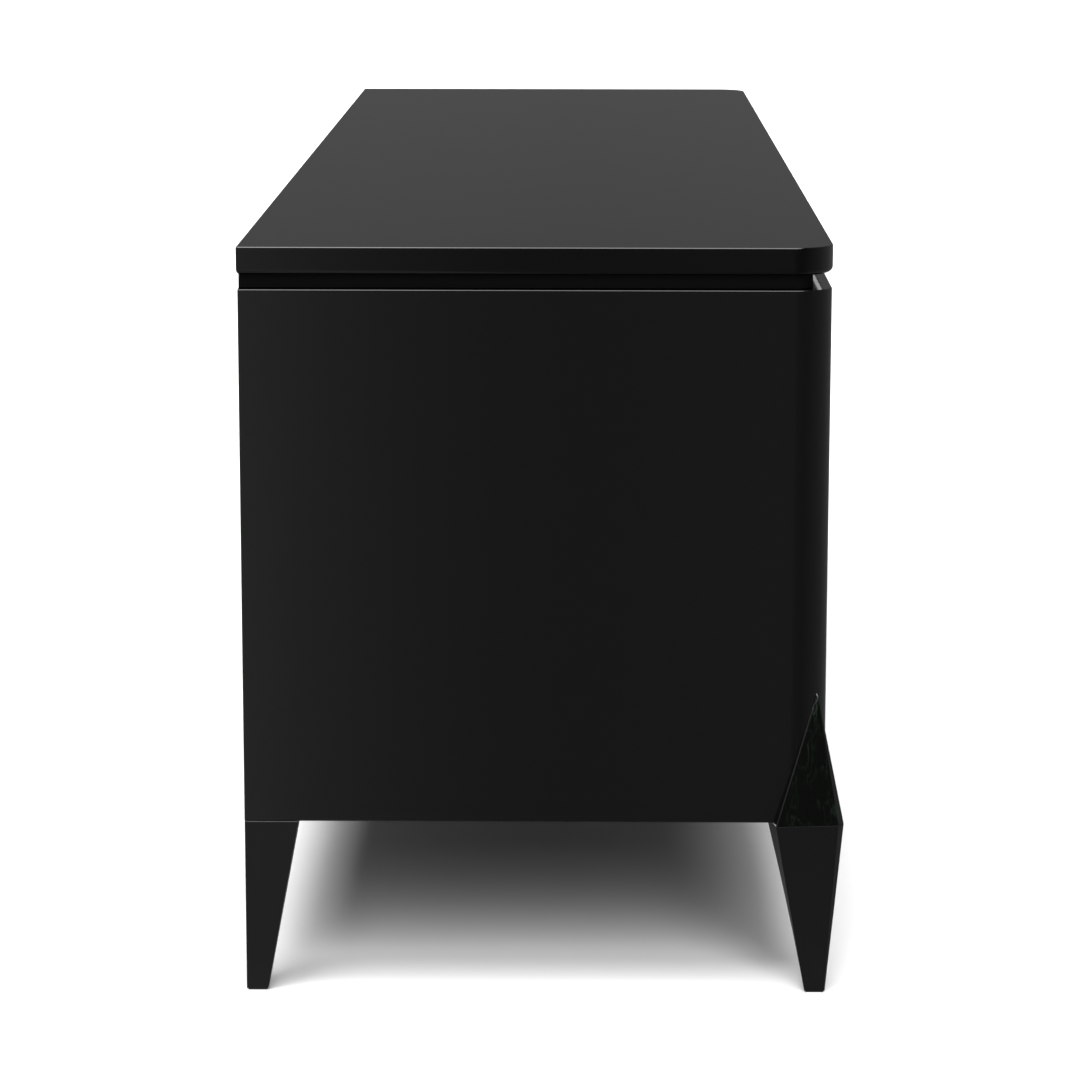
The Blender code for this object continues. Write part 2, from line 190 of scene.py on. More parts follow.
# %% Room
ROOM_FILL = 0.110
ROOM_BY_COMPASS = ((0.0, 0.106), (0.14, 0.16), (0.24, 0.62), (0.35, 0.60), (0.462, 0.10),
                   (0.478, 0.40), (0.486, 0.38), (0.4882, 0.24), (0.494, 0.12), (0.50, 0.10),
                   (0.508, 0.12), (0.53, 0.07), (0.586, 0.05), (0.68, 0.14), (0.78, 0.24),
                   (0.88, 0.24), (0.96, 0.13), (1.0, 0.106))

world = bpy.data.worlds.new("studio_room")
bpy.context.scene.world = world
world.use_nodes = True
tree = world.node_tree
tree.nodes.clear()
facing = add_node(tree, "ShaderNodeTexCoord")
from_behind = add_node(tree, "ShaderNodeMapping", {"Vector": facing.outputs["Generated"],
                                                   "Scale": (-1.0, -1.0, 1.0)})
compass = add_node(tree, "ShaderNodeTexGradient", {"Vector": from_behind.outputs["Vector"]},
                   gradient_type="RADIAL")
walls = add_node(tree, "ShaderNodeValToRGB", {"Fac": compass.outputs["Fac"]})
stops = walls.color_ramp.elements
stops[0].position, stops[1].position = ROOM_BY_COMPASS[0][0], ROOM_BY_COMPASS[-1][0]
for place_in_turn, level in ROOM_BY_COMPASS[1:-1]:
    stops.new(place_in_turn)
for stop, (_, level) in zip(stops, ROOM_BY_COMPASS):
    stop.color = (level, level, level, 1.0)
ray = add_node(tree, "ShaderNodeLightPath")
reflected = add_node(tree, "ShaderNodeBackground", {"Color": walls.outputs["Color"]})
fill = add_node(tree, "ShaderNodeBackground", {"Color": (1, 1, 1, 1), "Strength": ROOM_FILL})
seen = add_node(tree, "ShaderNodeBackground", {"Color": (1, 1, 1, 1), "Strength": 1.0})
inside = add_node(tree, "ShaderNodeMixShader", {0: ray.outputs["Is Diffuse Ray"],
                                                1: reflected.outputs[0], 2: fill.outputs[0]})
either = add_node(tree, "ShaderNodeMixShader", {0: ray.outputs["Is Camera Ray"],
                                                1: inside.outputs[0], 2: seen.outputs[0]})
add_node(tree, "ShaderNodeOutputWorld", {"Surface": either.outputs[0]})
print("room levels:", min(level for _, level in ROOM_BY_COMPASS), "to",
      max(level for _, level in ROOM_BY_COMPASS))

# %% [markdown]
# ## Lights
#
# Three large soft lights make the shadow under the dresser. The main one stands behind the camera
# at about 35 degrees, so that light creeps in under the near end. A smaller one hangs high up,
# over the dresser's back, and one straight overhead clears the shadows that would else lie on the
# floor beside the case. A sun lamp with a wide angle acts as a softbox that is far away. Each has
# a name, the direction it stands in, how many degrees it spans, and its strength.

# %% Lights
SOFTBOXES = (("softbox_behind_camera", (-0.812, -0.070, 0.577), 38.0, 2.70),
             ("softbox_high", (-0.381, 0.240, 0.893), 24.0, 1.65),
             ("softbox_overhead", (0.0, 0.0, 1.0), 35.0, 2.80))

for name, towards, across, strength in SOFTBOXES:
    light = bpy.data.lights.new(name, "SUN")
    light.energy = strength
    light.angle = math.radians(across)
    lamp = bpy.data.objects.new(name, light)
    lamp.rotation_euler = Vector(towards).to_track_quat("Z", "Y").to_euler()
    bpy.context.scene.collection.objects.link(lamp)
bpy.context.scene.view_settings.view_transform = "Standard"
print("lights:", ", ".join(name for name, *_ in SOFTBOXES))

# %% [markdown]
# ## Gloss black lacquer
#
# The case, the top and the drawer fronts are board, sprayed with polyester lacquer that is sanded
# and polished until it is as smooth as glass. That is a near black base under one clear smooth
# surface, with an IOR of 1.5. Polishing never gets it quite flat: reflections swim a little over a
# few centimetres, and a very faint finer peel sits on top of that. The top gets a copy of the
# lacquer whose base is a shade blacker: painted shade, so that the top reads darker than the case.

# %% Gloss black lacquer
SWIM_MM = 90.0
SWIM_HEIGHT = 0.00004
PEEL_MM = 4.0
PEEL_HEIGHT = 0.0000015


def grain_scale(millimetres):
    """Noise scale whose features are about this far apart on the object."""
    return 1000.0 / millimetres


def make_lacquer(name, base):
    """Polished lacquer over a base of one colour."""
    material, tree, shader = new_material(name)
    place = add_node(tree, "ShaderNodeTexCoord")
    swim = add_node(tree, "ShaderNodeTexNoise", {"Vector": place.outputs["Object"],
                                                 "Scale": grain_scale(SWIM_MM), "Detail": 1.0})
    peel = add_node(tree, "ShaderNodeTexNoise", {"Vector": place.outputs["Object"],
                                                 "Scale": grain_scale(PEEL_MM), "Detail": 1.0})
    swim_bump = add_node(tree, "ShaderNodeBump", {"Height": swim.outputs["Fac"],
                                                  "Strength": 1.0, "Distance": SWIM_HEIGHT})
    peel_bump = add_node(tree, "ShaderNodeBump", {"Height": peel.outputs["Fac"],
                                                  "Strength": 1.0, "Distance": PEEL_HEIGHT,
                                                  "Normal": swim_bump.outputs["Normal"]})
    tree.links.new(peel_bump.outputs["Normal"], shader.inputs["Normal"])
    shader.inputs["Base Color"].default_value = colour(base)
    shader.inputs["Roughness"].default_value = 0.05
    shader.inputs["IOR"].default_value = 1.5
    return material


gloss_black = make_lacquer("polished_black_polyester_lacquer", "080808")
# The top's copy has a blacker base: painted shade, so that the top reads darker than the case.
gloss_black_shaded_top = make_lacquer("polished_black_polyester_lacquer_of_the_top", "030303")
print("made", gloss_black.name, "and", gloss_black_shaded_top.name)

# %% [markdown]
# ## Satin black lacquer
#
# The legs, the rails and the back panel are sprayed with a satin lacquer over close-grained wood.
# It scatters light more widely than the polished kind, so it reads as a slightly paler, softer
# black. The spray leaves a fine texture, and the grain of the wood just shows through as long
# shallow lines.

# %% Satin black lacquer
SPRAY_MM = 0.9
SPRAY_HEIGHT = 0.00002
TELEGRAPH_MM = 2.2
TELEGRAPH_HEIGHT = 0.00006


def make_satin(name, stretch):
    """Satin lacquer over wood whose grain runs along the axis with the small stretch value."""
    material, tree, shader = new_material(name)
    place = add_node(tree, "ShaderNodeTexCoord")
    lengthened = add_node(tree, "ShaderNodeMapping", {"Vector": place.outputs["Object"],
                                                      "Scale": stretch})
    lines = add_node(tree, "ShaderNodeTexNoise", {"Vector": lengthened.outputs["Vector"],
                                                  "Scale": grain_scale(TELEGRAPH_MM),
                                                  "Detail": 3.0})
    spray = add_node(tree, "ShaderNodeTexNoise", {"Vector": place.outputs["Object"],
                                                  "Scale": grain_scale(SPRAY_MM), "Detail": 2.0})
    line_bump = add_node(tree, "ShaderNodeBump", {"Height": lines.outputs["Fac"],
                                                  "Strength": 0.6,
                                                  "Distance": TELEGRAPH_HEIGHT})
    spray_bump = add_node(tree, "ShaderNodeBump", {"Height": spray.outputs["Fac"],
                                                   "Strength": 0.6, "Distance": SPRAY_HEIGHT,
                                                   "Normal": line_bump.outputs["Normal"]})
    sheen = add_node(tree, "ShaderNodeMapRange", {"Value": lines.outputs["Fac"],
                                                  "To Min": 0.28, "To Max": 0.38})
    tree.links.new(spray_bump.outputs["Normal"], shader.inputs["Normal"])
    tree.links.new(sheen.outputs["Result"], shader.inputs["Roughness"])
    shader.inputs["Base Color"].default_value = colour("0a090b")
    shader.inputs["Specular IOR Level"].default_value = 0.42
    return material


satin_black = make_satin("satin_black_lacquer_on_upright_wood", (1.0, 1.0, 0.04))
satin_black_long = make_satin("satin_black_lacquer_on_long_boards", (0.04, 1.0, 1.0))
print("made", satin_black.name, "and", satin_black_long.name)

# %% [markdown]
# ## Oiled walnut
#
# Inside, the dividers, the runners and the drawer boxes are solid walnut, planed and oiled. Walnut
# shows three things at three sizes: broad bands of darker and paler wood a few centimetres wide,
# growth lines a few millimetres apart, and dark open pores like short pencil strokes. Each is a
# noise that is stretched along the board. The oil leaves a soft sheen, and the pores are a little
# duller and lower than the wood.

# %% Grain of the walnut
BAND_MM = 55.0
GROWTH_MM = 7.0
PORE_MM = 0.8
BAND_SQUEEZE = 0.09
PORE_SQUEEZE = 0.05


def wood_grain(tree, axis):
    """Two values for a board whose grain runs along axis 0, 1 or 2: its tone and its pores."""
    band_stretch = [1.0, 1.0, 1.0]
    band_stretch[axis] = BAND_SQUEEZE
    pore_stretch = [1.0, 1.0, 1.0]
    pore_stretch[axis] = PORE_SQUEEZE
    place = add_node(tree, "ShaderNodeTexCoord")
    long_bands = add_node(tree, "ShaderNodeMapping", {"Vector": place.outputs["Object"],
                                                      "Scale": band_stretch})
    long_pores = add_node(tree, "ShaderNodeMapping", {"Vector": place.outputs["Object"],
                                                      "Scale": pore_stretch})
    bands = add_node(tree, "ShaderNodeTexNoise", {"Vector": long_bands.outputs["Vector"],
                                                  "Scale": grain_scale(BAND_MM),
                                                  "Detail": 3.0, "Distortion": 0.6})
    growth = add_node(tree, "ShaderNodeTexNoise", {"Vector": long_bands.outputs["Vector"],
                                                   "Scale": grain_scale(GROWTH_MM),
                                                   "Detail": 2.0, "Distortion": 0.3})
    pores = add_node(tree, "ShaderNodeTexNoise", {"Vector": long_pores.outputs["Vector"],
                                                  "Scale": grain_scale(PORE_MM),
                                                  "Detail": 1.0})
    tone = add_node(tree, "ShaderNodeMix", {0: 0.45, 2: bands.outputs["Fac"],
                                            3: growth.outputs["Fac"]})
    strokes = add_node(tree, "ShaderNodeMapRange", {"Value": pores.outputs["Fac"],
                                                    "From Min": 0.30, "From Max": 0.42,
                                                    "To Min": 0.75, "To Max": 0.0})
    return tone.outputs[0], strokes.outputs["Result"]


print("growth lines about", GROWTH_MM, "mm apart, each about",
      round(GROWTH_MM / BAND_SQUEEZE), "mm long")

# %% [markdown]
# The tone picks a colour between dark and pale heartwood, and the pores are laid over it in a
# darker brown. Three kinds of board are needed: grain from front to back, grain from side to
# side, and the paler veneered plywood of the drawer bottoms.

# %% Walnut boards and veneered plywood
PORE_DEPTH = 0.00008
WALNUT = {"dark": "2c1a11", "middle": "4a2f1f", "pale": "6b4a32", "pore": "1c100a"}
PLYWOOD = {"dark": "5f4330", "middle": "7a5a40", "pale": "93714f", "pore": "4a3324"}


def make_wood(name, axis, dark, middle, pale, pore):
    """Oiled wood whose grain runs along axis 0, 1 or 2."""
    material, tree, shader = new_material(name)
    tone, strokes = wood_grain(tree, axis)
    ramp = add_node(tree, "ShaderNodeValToRGB", {"Fac": tone})
    ramp.color_ramp.elements[0].position = 0.36
    ramp.color_ramp.elements[0].color = colour(dark)
    ramp.color_ramp.elements[1].position = 0.64
    ramp.color_ramp.elements[1].color = colour(pale)
    ramp.color_ramp.elements.new(0.5).color = colour(middle)
    toned = add_node(tree, "ShaderNodeMix", {0: strokes, 6: ramp.outputs["Color"],
                                             7: colour(pore)}, data_type="RGBA")
    dull = add_node(tree, "ShaderNodeMapRange", {"Value": strokes,
                                                 "To Min": 0.42, "To Max": 0.75})
    sunk = add_node(tree, "ShaderNodeBump", {"Height": strokes, "Strength": 0.8,
                                             "Distance": PORE_DEPTH}, invert=True)
    tree.links.new(toned.outputs[2], shader.inputs["Base Color"])
    tree.links.new(dull.outputs["Result"], shader.inputs["Roughness"])
    tree.links.new(sunk.outputs["Normal"], shader.inputs["Normal"])
    return material


walnut_deep = make_wood("oiled_walnut_grain_front_to_back", 1, **WALNUT)
walnut_wide = make_wood("oiled_walnut_grain_side_to_side", 0, **WALNUT)
veneer = make_wood("walnut_veneered_plywood", 0, **PLYWOOD)
print("made", walnut_deep.name, walnut_wide.name, veneer.name)

# %% [markdown]
# ## Matt black paint
#
# The plinth in the shadow gap is painted dull black, so that it disappears and the top seems to
# float. Dull paint is rough and reflects very little, and it has a fine toothy texture.

# %% Matt black paint
PAINT_TOOTH_MM = 0.7
PAINT_TOOTH_HEIGHT = 0.00003

matt_black, tree, shader = new_material("matt_black_paint_of_the_plinth")
place = add_node(tree, "ShaderNodeTexCoord")
tooth = add_node(tree, "ShaderNodeTexNoise", {"Vector": place.outputs["Object"],
                                              "Scale": grain_scale(PAINT_TOOTH_MM),
                                              "Detail": 2.0})
tooth_bump = add_node(tree, "ShaderNodeBump", {"Height": tooth.outputs["Fac"],
                                               "Strength": 0.5,
                                               "Distance": PAINT_TOOTH_HEIGHT})
tree.links.new(tooth_bump.outputs["Normal"], shader.inputs["Normal"])
shader.inputs["Base Color"].default_value = colour("0b0b0b")
shader.inputs["Roughness"].default_value = 0.8
shader.inputs["Specular IOR Level"].default_value = 0.02
print("made", matt_black.name)

# %% [markdown]
# ## Dark green glass
#
# The caps are ground and polished from solid cast glass of such a deep bottle green that they
# look almost black. What tells them from the lacquer is a sharper shine and faint curling veins
# of a clearer green inside, left by the glass as it flowed into its mould. The glass is far too
# deep to see through, so it is made as a dark body under a sharp polished surface with an IOR of
# 1.52. The veins are the places where a strongly distorted noise passes through its middle value:
# within VEIN_EDGE of it there is vein, and beyond that plain glass. Low down they only show in
# patches. Towards the tip they show everywhere and in a clearer green: a painted glow that stands
# for the light coming through the thin tip.

# %% Veins in the glass
VEIN_MM = 15.0
VEIN_EDGE = 0.028
CLOUD_MM = 30.0
# Heights over which the painted glow at the tip fades in.
TIP_GLOW_FADE = (0.21, 0.28)

green_glass, tree, shader = new_material("polished_dark_green_cast_glass")
place = add_node(tree, "ShaderNodeTexCoord")
drawn_out = add_node(tree, "ShaderNodeMapping", {"Vector": place.outputs["Object"],
                                                 "Scale": (1.0, 1.0, 0.5)})
flow = add_node(tree, "ShaderNodeTexNoise", {"Vector": drawn_out.outputs["Vector"],
                                             "Scale": grain_scale(VEIN_MM), "Detail": 2.0,
                                             "Distortion": 1.6})
cloud = add_node(tree, "ShaderNodeTexNoise", {"Vector": place.outputs["Object"],
                                              "Scale": grain_scale(CLOUD_MM), "Detail": 1.0})
centred = add_node(tree, "ShaderNodeMath", {0: flow.outputs["Fac"], 1: 0.5},
                   operation="SUBTRACT")
away = add_node(tree, "ShaderNodeMath", {0: centred.outputs["Value"]}, operation="ABSOLUTE")
vein = add_node(tree, "ShaderNodeMapRange", {"Value": away.outputs["Value"],
                                             "From Min": 0.0,
                                             "From Max": VEIN_EDGE,
                                             "To Min": 1.0, "To Max": 0.0},
                interpolation_type="SMOOTHSTEP")
patchy = add_node(tree, "ShaderNodeMapRange", {"Value": cloud.outputs["Fac"],
                                               "From Min": 0.42, "From Max": 0.58})
apart = add_node(tree, "ShaderNodeSeparateXYZ", {"Vector": place.outputs["Object"]})
# Painted glow: towards the tip the veins show everywhere, standing for light through the thin
# glass.
tip = add_node(tree, "ShaderNodeMapRange", {"Value": apart.outputs["Z"],
                                            "From Min": TIP_GLOW_FADE[0], "From Max": TIP_GLOW_FADE[1]})
where = add_node(tree, "ShaderNodeMath", {0: patchy.outputs["Result"],
                                          1: tip.outputs["Result"]}, operation="MAXIMUM")
shown = add_node(tree, "ShaderNodeMath", {0: vein.outputs["Result"],
                                          1: where.outputs["Value"]}, operation="MULTIPLY")
print("veins everywhere above", round(1000 * TIP_GLOW_FADE[1]), "mm, in patches below",
      round(1000 * TIP_GLOW_FADE[0]), "mm")

# %% [markdown]
# The veins now get their colour, and the surface gets its polish. Towards the tip the vein colour
# turns clearer: painted glow for light coming through the thin glass. A ground and polished face
# is never quite flat, so a very low ripple bends what it reflects.

# %% Body and polish of the glass
POLISH_MM = 9.0
POLISH_HEIGHT = 0.00005

# Painted glow: the vein colour turns clearer towards the tip, for light through the thin glass.
vein_colour_and_tip_glow = add_node(tree, "ShaderNodeMix", {0: tip.outputs["Result"], 6: colour("0d150e"),
                                          7: colour("1d271e")}, data_type="RGBA")
veins_and_tip_glow_colour = add_node(tree, "ShaderNodeMix", {0: shown.outputs["Value"], 6: colour("020302"),
                                          7: vein_colour_and_tip_glow.outputs[2]}, data_type="RGBA")
ripple = add_node(tree, "ShaderNodeTexNoise", {"Vector": place.outputs["Object"],
                                               "Scale": grain_scale(POLISH_MM),
                                               "Detail": 1.0})
ripple_bump = add_node(tree, "ShaderNodeBump", {"Height": ripple.outputs["Fac"],
                                                "Strength": 1.0,
                                                "Distance": POLISH_HEIGHT})
tree.links.new(veins_and_tip_glow_colour.outputs[2], shader.inputs["Base Color"])
tree.links.new(ripple_bump.outputs["Normal"], shader.inputs["Normal"])
shader.inputs["Roughness"].default_value = 0.02
shader.inputs["IOR"].default_value = 1.52
print("made", green_glass.name)

# %% [markdown]
# ## Black nylon
#
# A thin moulded pad sits under each foot and keeps the lacquer off the floor. Moulded nylon is
# dull and has a fine even grain from the tool it was pressed in.

# %% Black nylon
NYLON_GRAIN_MM = 0.4
NYLON_GRAIN_HEIGHT = 0.00003

nylon, tree, shader = new_material("moulded_black_nylon")
place = add_node(tree, "ShaderNodeTexCoord")
grain = add_node(tree, "ShaderNodeTexNoise", {"Vector": place.outputs["Object"],
                                              "Scale": grain_scale(NYLON_GRAIN_MM)})
grain_bump = add_node(tree, "ShaderNodeBump", {"Height": grain.outputs["Fac"],
                                               "Strength": 0.5,
                                               "Distance": NYLON_GRAIN_HEIGHT})
tree.links.new(grain_bump.outputs["Normal"], shader.inputs["Normal"])
shader.inputs["Base Color"].default_value = colour("1b1b1c")
shader.inputs["Roughness"].default_value = 0.6
print("made", nylon.name)

# %% [markdown]
# ## Tools for shaping
#
# A real board never has a knife-sharp edge, and in gloss black the thin bright line along an
# eased edge is most of what the eye sees. So every piece starts from a cube or a plane at its
# true size, is shaped in edit mode, and gets its edges rounded. The first helpers start such a
# block. Everything is deselected first, because an operator acts on all that is selected.

# %% Helpers that start a block
SAME = 1e-5


def same(a, b):
    """Whether two lengths are equal, give or take a hundredth of a millimetre."""
    return abs(a - b) < SAME


def settle(piece):
    """Put a piece's place into its mesh, so that its object sits at the origin."""
    bpy.ops.object.select_all(action="DESELECT")
    piece.select_set(True)
    bpy.context.view_layer.objects.active = piece
    bpy.ops.object.transform_apply(location=True, rotation=True, scale=True)


def start_block(name, low, high):
    """A cube between two corners, in edit mode."""
    bpy.ops.object.select_all(action="DESELECT")
    bpy.ops.mesh.primitive_cube_add(size=1.0, location=(low + high) / 2)
    piece = bpy.context.object
    piece.name = name
    piece.scale = high - low
    settle(piece)
    bpy.ops.object.mode_set(mode="EDIT")
    return piece


print("lengths closer than", round(1000 * SAME, 3), "mm count as equal")

# %% [markdown]
# The next two select corners, edges or faces by a test, such as lying at one coordinate. That is
# safer than picking them by number, because every operator numbers a mesh's parts anew.

# %% Helpers that select parts of a block
PICK_MODES = {"verts": "VERT", "edges": "EDGE", "faces": "FACE"}


def pick(piece, kind, wanted):
    """Select only the verts, edges or faces that pass a test, and say how many did."""
    bpy.ops.mesh.select_mode(type=PICK_MODES[kind])
    bpy.ops.mesh.select_all(action="DESELECT")
    cage = bmesh.from_edit_mesh(piece.data)
    chosen = [item for item in getattr(cage, kind) if wanted(item)]
    for item in chosen:
        item.select_set(True)
    bmesh.update_edit_mesh(piece.data)
    return len(chosen)


def all_at(item, axis, value):
    """Whether every corner of an edge or face lies at one coordinate."""
    return all(same(vert.co[axis], value) for vert in item.verts)


print("a test can pick", ", ".join(PICK_MODES))

# %% [markdown]
# The next helpers round edges: in edit mode those that are selected, and on a whole piece all that
# are sharper than an angle. A modifier is applied at once, so that the mesh is final.

# %% Helpers that round edges
EASED_ANGLE = 28.0


def round_edges(width, segments, affect="EDGES"):
    """Round what is selected."""
    bpy.ops.mesh.bevel(offset_type="OFFSET", offset=width, segments=segments, profile=0.5,
                       affect=affect, clamp_overlap=False)


def modify(piece, kind, **settings):
    """Add a modifier and apply it at once."""
    bpy.ops.object.select_all(action="DESELECT")
    piece.select_set(True)
    bpy.context.view_layer.objects.active = piece
    modifier = piece.modifiers.new(kind.lower(), kind)
    for key, value in settings.items():
        setattr(modifier, key, value)
    bpy.ops.object.modifier_apply(modifier=modifier.name)


def ease_all(piece, width, segments=3):
    """Round every sharp edge of a piece."""
    modify(piece, "BEVEL", width=width, segments=segments, limit_method="ANGLE",
           angle_limit=math.radians(EASED_ANGLE), use_clamp_overlap=True)


print("edges of more than", EASED_ANGLE, "degrees are rounded")

# %% [markdown]
# A finished piece has smooth shading that keeps its flat faces flat, a material, and its place in
# the working model: the body that it moves with and the nodes that it stands for.

# %% Helper that finishes a piece
SMOOTH_ANGLE = 32.0


def finish_piece(piece, material, slot, body, *nodes):
    """Smooth, paint and mount a piece that stands for some of the model's nodes."""
    if bpy.context.mode != "OBJECT":
        bpy.ops.mesh.select_all(action="SELECT")
        bpy.ops.mesh.normals_make_consistent(inside=False)
        bpy.ops.object.mode_set(mode="OBJECT")
    bpy.ops.object.select_all(action="DESELECT")
    piece.select_set(True)
    bpy.context.view_layer.objects.active = piece
    bpy.ops.object.shade_smooth_by_angle(angle=math.radians(SMOOTH_ANGLE))
    modify(piece, "WEIGHTED_NORMAL", keep_sharp=True, weight=100)
    piece.data.materials.clear()
    piece.data.materials.append(material)
    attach(piece, body)
    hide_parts(*nodes)


print("edges of up to", SMOOTH_ANGLE, "degrees look smooth")

# %% [markdown]
# What repeats is modelled once. A copy gets a mesh of its own, and the other end of the dresser
# gets a mirror image. Mirroring turns a mesh inside out, so its normals are worked out again.

# %% Helpers that copy and mirror a piece
def duplicate(piece, name):
    """A copy of a piece with a mesh of its own."""
    twin = piece.copy()
    twin.data = piece.data.copy()
    twin.name = name
    bpy.context.scene.collection.objects.link(twin)
    return twin


def mirrored(piece, name):
    """The same piece for the other end of the dresser."""
    twin = duplicate(piece, name)
    twin.scale.x = -1.0
    settle(twin)
    bpy.ops.object.mode_set(mode="EDIT")
    bpy.ops.mesh.select_all(action="SELECT")
    bpy.ops.mesh.normals_make_consistent(inside=False)
    bpy.ops.object.mode_set(mode="OBJECT")
    return twin


middle = (cad_box[0][0] + cad_box[1][0]) / 2
print("pieces are mirrored at x = 0, and the model's middle is at", round(middle, 4))

# %% [markdown]
# ## The top slab and the plinth under it
#
# The top is one thick lacquered board with two softly rounded front corners. Its upper edge is
# crisp and its lower edge is a wide quarter round, which catches a band of light. The plinth is
# smaller all round and lifts the top off the case, which makes the shadow gap. Both are cubes
# whose upright front edges are bevelled first, because a rim can only be rounded once the
# corner it runs round is there.

# %% Top slab and plinth
TOP_CORNER = 0.035
TOP_UNDER_ROUND = 0.005
TOP_UPPER_EASE = 0.001
PLINTH_CORNER = 0.018
PLINTH_EASE = 0.0004


def upright(edge):
    """Whether an edge runs straight up."""
    a, b = edge.verts
    return same(a.co.x, b.co.x) and same(a.co.y, b.co.y)


def make_round_fronted(name, node, corner, under, upper, material, slot):
    """A board with two round front corners and rounded rims; the back stays straight."""
    low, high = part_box(node)
    piece = start_block(name, low, high)
    pick(piece, "edges", lambda e: upright(e) and all_at(e, 1, high.y))
    round_edges(upper, 2)
    pick(piece, "edges", lambda e: upright(e) and all_at(e, 1, low.y))
    round_edges(corner, 32)
    pick(piece, "edges", lambda e: all_at(e, 2, low.z) and not all_at(e, 1, high.y))
    round_edges(under, 8)
    pick(piece, "edges", lambda e: all_at(e, 2, high.z))
    round_edges(upper, 4)
    finish_piece(piece, material, slot, "case", node)
    print(name, len(piece.data.polygons), "faces")


make_round_fronted("lacquered_top", "top_slab", TOP_CORNER, TOP_UNDER_ROUND, TOP_UPPER_EASE,
                   gloss_black_shaded_top, "gloss_black_lacquer")
make_round_fronted("shadow_gap_plinth", "plinth_board", PLINTH_CORNER, PLINTH_EASE,
                   PLINTH_EASE, matt_black, "gloss_black_lacquer")

# %% [markdown]
# ## The ends of the case
#
# Each end is a thick panel that turns the front corner in a quarter circle and becomes the post
# beside the drawers. Sprayed and polished after gluing, it shows no joint. It starts as the flat
# panel. A plane cuts across it behind its front part, that part is extruded inwards to make the
# post, and then the outer upright edge is rounded with the large radius.

# %% Case ends
END_THICK = 0.025
POST_DEPTH = 0.045
CASE_CORNER = 0.032

low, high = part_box("end_panel_left")
post_inner = high.x
panel_inner = low.x + END_THICK
post_back = low.y + POST_DEPTH
end_left = start_block("lacquered_case_end_left", low, Vector((panel_inner, high.y, high.z)))
bpy.ops.mesh.select_all(action="SELECT")
bpy.ops.mesh.bisect(plane_co=(0, post_back, 0), plane_no=(0, 1, 0))
pick(end_left, "faces",
     lambda f: all_at(f, 0, panel_inner) and f.calc_center_median().y < post_back)
inwards = (post_inner - panel_inner, 0, 0)
bpy.ops.mesh.extrude_region_move(TRANSFORM_OT_translate={"value": inwards})
pick(end_left, "edges", lambda e: upright(e) and all_at(e, 0, low.x) and all_at(e, 1, low.y))
round_edges(CASE_CORNER, 32)
print("post:", round(1000 * (post_inner - low.x)), "by", round(1000 * POST_DEPTH), "mm")

# %% [markdown]
# The rims at the top and the bottom are eased along the outer end and the front, where they show.
# Where the other boards of the case meet the panel they stay sharp, so that no groove opens at a
# joint. The finished left end is then mirrored for the right one.

# %% Rims of the case ends
CASE_EASE = 0.0008
POST_EASE = 0.0006


def outside_rim(edge):
    """Whether an edge is on the top or bottom rim, along the outer end or the front."""
    flat = all_at(edge, 2, low.z) or all_at(edge, 2, high.z)
    inside = all(vert.co.x > panel_inner - SAME for vert in edge.verts)
    at_back = all_at(edge, 1, high.y) or all_at(edge, 1, post_back)
    return flat and not at_back and (not inside or all_at(edge, 1, low.y))


print("rim edges:", pick(end_left, "edges", outside_rim))
round_edges(CASE_EASE, 4)
pick(end_left, "edges", lambda e: upright(e) and all_at(e, 0, post_inner) and all_at(e, 1, low.y))
round_edges(POST_EASE, 2)
bpy.ops.object.mode_set(mode="OBJECT")
end_right = mirrored(end_left, "lacquered_case_end_right")
finish_piece(end_left, gloss_black, "gloss_black_lacquer", "case", "end_panel_left")
finish_piece(end_right, gloss_black, "gloss_black_lacquer", "case", "end_panel_right")
print(end_left.name, len(end_left.data.polygons), "faces")

# %% [markdown]
# ## Boards of the case and of the drawers
#
# The remaining boards are planed flat and square, and only their edges are broken with a little
# sanding. The working model already has their outlines, notches and grooves, so a copy of each is
# merged, cleaned of the triangles' diagonals, and its sharp edges are rounded by the amount that
# a maker's sanding block would take off.

# %% Helpers that copy a board and ease its edges
FLAT_ANGLE = 0.2


def clean_copy(name, node):
    """A copy of one of the model's pieces, merged and without the triangles' diagonals."""
    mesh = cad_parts[node].data.copy()
    piece = bpy.data.objects.new(name, mesh)
    bpy.context.scene.collection.objects.link(piece)
    settle(piece)
    bpy.ops.object.mode_set(mode="EDIT")
    bpy.ops.mesh.select_all(action="SELECT")
    bpy.ops.mesh.customdata_custom_splitnormals_clear()
    bpy.ops.mesh.remove_doubles(threshold=SAME)
    bpy.ops.mesh.dissolve_limited(angle_limit=math.radians(FLAT_ANGLE))
    bpy.ops.object.mode_set(mode="OBJECT")
    return piece


def eased_copy(name, node, width, segments=2):
    """A clean copy with softened edges."""
    piece = clean_copy(name, node)
    ease_all(piece, width, segments)
    return piece


print("nodes to choose from:", len(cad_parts))

# %% [markdown]
# ## Boards inside the case
#
# The deck and the base panel close the case above and below and are lacquered like its ends. Three
# rails cross the front between the two rows of drawers, and they and the back panel only get the
# satin lacquer. The dividers and the runners of the upper drawers are solid walnut. Its edges are
# eased a little more than lacquered ones, because bare wood would splinter.

# %% Boards inside the case
LACQUER_EASE = 0.0006
TIMBER_EASE = 0.0009
COLUMNS = ("left", "centre", "right")

